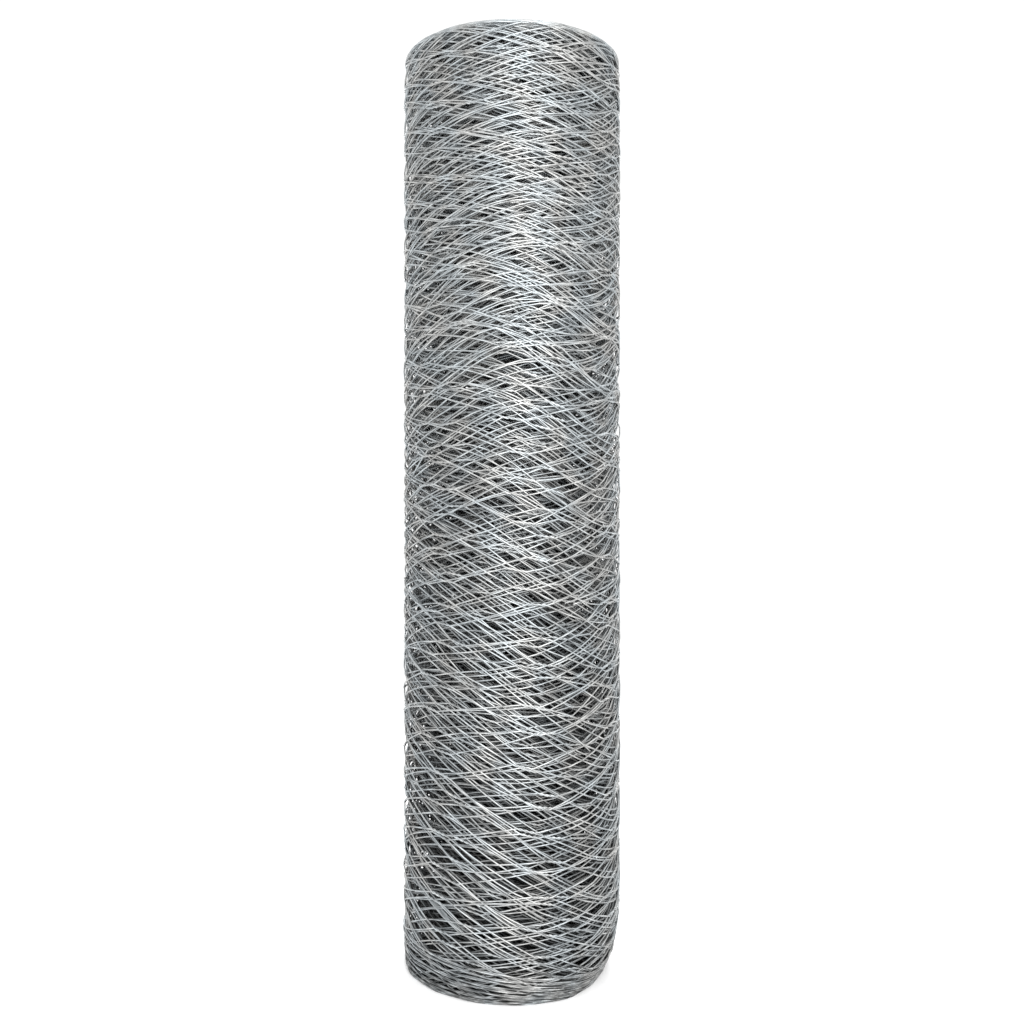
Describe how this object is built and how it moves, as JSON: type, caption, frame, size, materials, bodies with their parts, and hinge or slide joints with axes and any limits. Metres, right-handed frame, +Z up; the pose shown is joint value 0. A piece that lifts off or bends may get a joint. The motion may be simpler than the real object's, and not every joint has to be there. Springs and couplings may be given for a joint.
{
  "type": "roll of chicken wire",
  "caption": "Upright roll of hexagonal galvanised wire netting with an open bore, its turns showing on both ends and its lower rim pressed in on one side.",
  "frame": {"origin": "middle of the bottom end of the roll, at floor level", "axes": "+Z up the bore, -Y towards the side that the picture shows, the netting's loose end at +Y and the pressed-in rim at +X"},
  "size_m": [0.147, 0.147, 0.61],
  "materials": {
    "galvanised_wire": "dull hot-dip galvanised"
  },
  "bodies": {
    "root": {"netting_roll": "galvanised_wire"}
  },
  "joints": []
}
